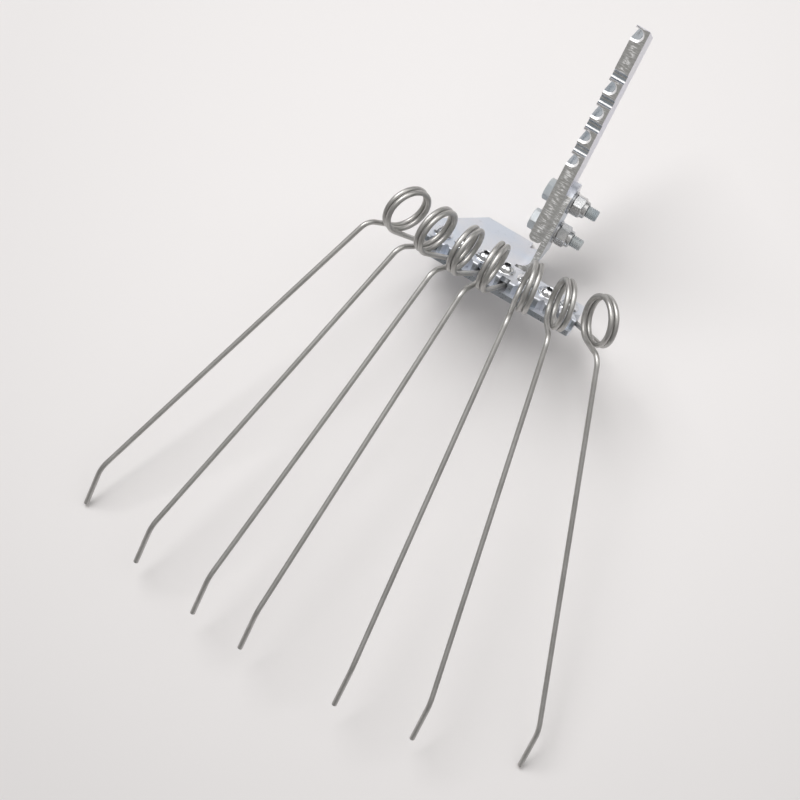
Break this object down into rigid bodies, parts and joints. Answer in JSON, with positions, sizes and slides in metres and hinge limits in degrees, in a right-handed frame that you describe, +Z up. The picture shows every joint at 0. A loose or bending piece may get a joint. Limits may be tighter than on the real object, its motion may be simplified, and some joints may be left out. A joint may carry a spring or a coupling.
{
  "type": "spring-tine rake attachment",
  "caption": "Fan of spring-wire rake tines with torsion coils, clamped by screws under a folded steel plate that is bolted to a notched flat shank.",
  "frame": {"origin": "middle of the box's base, on the surface the rake lies on", "axes": "+Z up from that surface, -Y forward to the tine tips, +X across the fan to the side of the leg and bolt ends"},
  "size_m": [0.3316, 0.4406, 0.1511],
  "materials": {
    "shank_zinc": "satin",
    "plate_zinc": "satin",
    "spring_wire": "satin",
    "screw_zinc": "polished",
    "bolt_zinc": "satin",
    "nut_zinc": "satin"
  },
  "bodies": {
    "rake_frame": {"shank": "shank_zinc", "rake_plate": "plate_zinc", "clamp_strip": "plate_zinc", "tine_coil_1": "spring_wire", "tine_coil_2": "spring_wire", "tine_coil_3": "spring_wire", "tine_coil_4": "spring_wire", "tine_coil_5": "spring_wire", "tine_coil_6": "spring_wire", "tine_coil_7": "spring_wire", "tine_screws": "screw_zinc", "tine_nuts": "nut_zinc", "shank_bolts": "bolt_zinc", "shank_washers": "nut_zinc", "shank_nuts": "nut_zinc"},
    "arm_1": {"tine_arm_1": "spring_wire"},
    "arm_2": {"tine_arm_2": "spring_wire"},
    "arm_3": {"tine_arm_3": "spring_wire"},
    "arm_4": {"tine_arm_4": "spring_wire"},
    "arm_5": {"tine_arm_5": "spring_wire"},
    "arm_6": {"tine_arm_6": "spring_wire"},
    "arm_7": {"tine_arm_7": "spring_wire"}
  },
  "joints": [
    {"name": "tine_spring_1", "type": "hinge", "parent": "rake_frame", "child": "arm_1", "pos_m": [-0.06973, 0.06823, 0.07127], "axis": [-0.8262, 0.3896, -0.4068], "range_deg": [0, 20], "stiffness_Nm_per_rad": 4.8},
    {"name": "tine_spring_2", "type": "hinge", "parent": "rake_frame", "child": "arm_2", "pos_m": [-0.04729, 0.06532, 0.07431], "axis": [-0.9253, 0.2623, -0.2739], "range_deg": [0, 20], "stiffness_Nm_per_rad": 4.8},
    {"name": "tine_spring_3", "type": "hinge", "parent": "rake_frame", "child": "arm_3", "pos_m": [-0.02517, 0.06361, 0.07609], "axis": [-0.9789, 0.1413, -0.1475], "range_deg": [0, 20], "stiffness_Nm_per_rad": 4.8},
    {"name": "tine_spring_4", "type": "hinge", "parent": "rake_frame", "child": "arm_4", "pos_m": [-0.00542, 0.06289, 0.07684], "axis": [-0.9957, 0.0637, -0.0665], "range_deg": [0, 20], "stiffness_Nm_per_rad": 4.8},
    {"name": "tine_spring_5", "type": "hinge", "parent": "rake_frame", "child": "arm_5", "pos_m": [0.02032, 0.06286, 0.07688], "axis": [-0.9842, -0.1227, 0.1281], "range_deg": [0, 20], "stiffness_Nm_per_rad": 4.8},
    {"name": "tine_spring_6", "type": "hinge", "parent": "rake_frame", "child": "arm_6", "pos_m": [0.04285, 0.06392, 0.07577], "axis": [-0.9322, -0.2503, 0.2613], "range_deg": [0, 20], "stiffness_Nm_per_rad": 4.8},
    {"name": "tine_spring_7", "type": "hinge", "parent": "rake_frame", "child": "arm_7", "pos_m": [0.06818, 0.06745, 0.07209], "axis": [-0.7857, -0.4279, 0.4467], "range_deg": [0, 20], "stiffness_Nm_per_rad": 4.8}
  ]
}
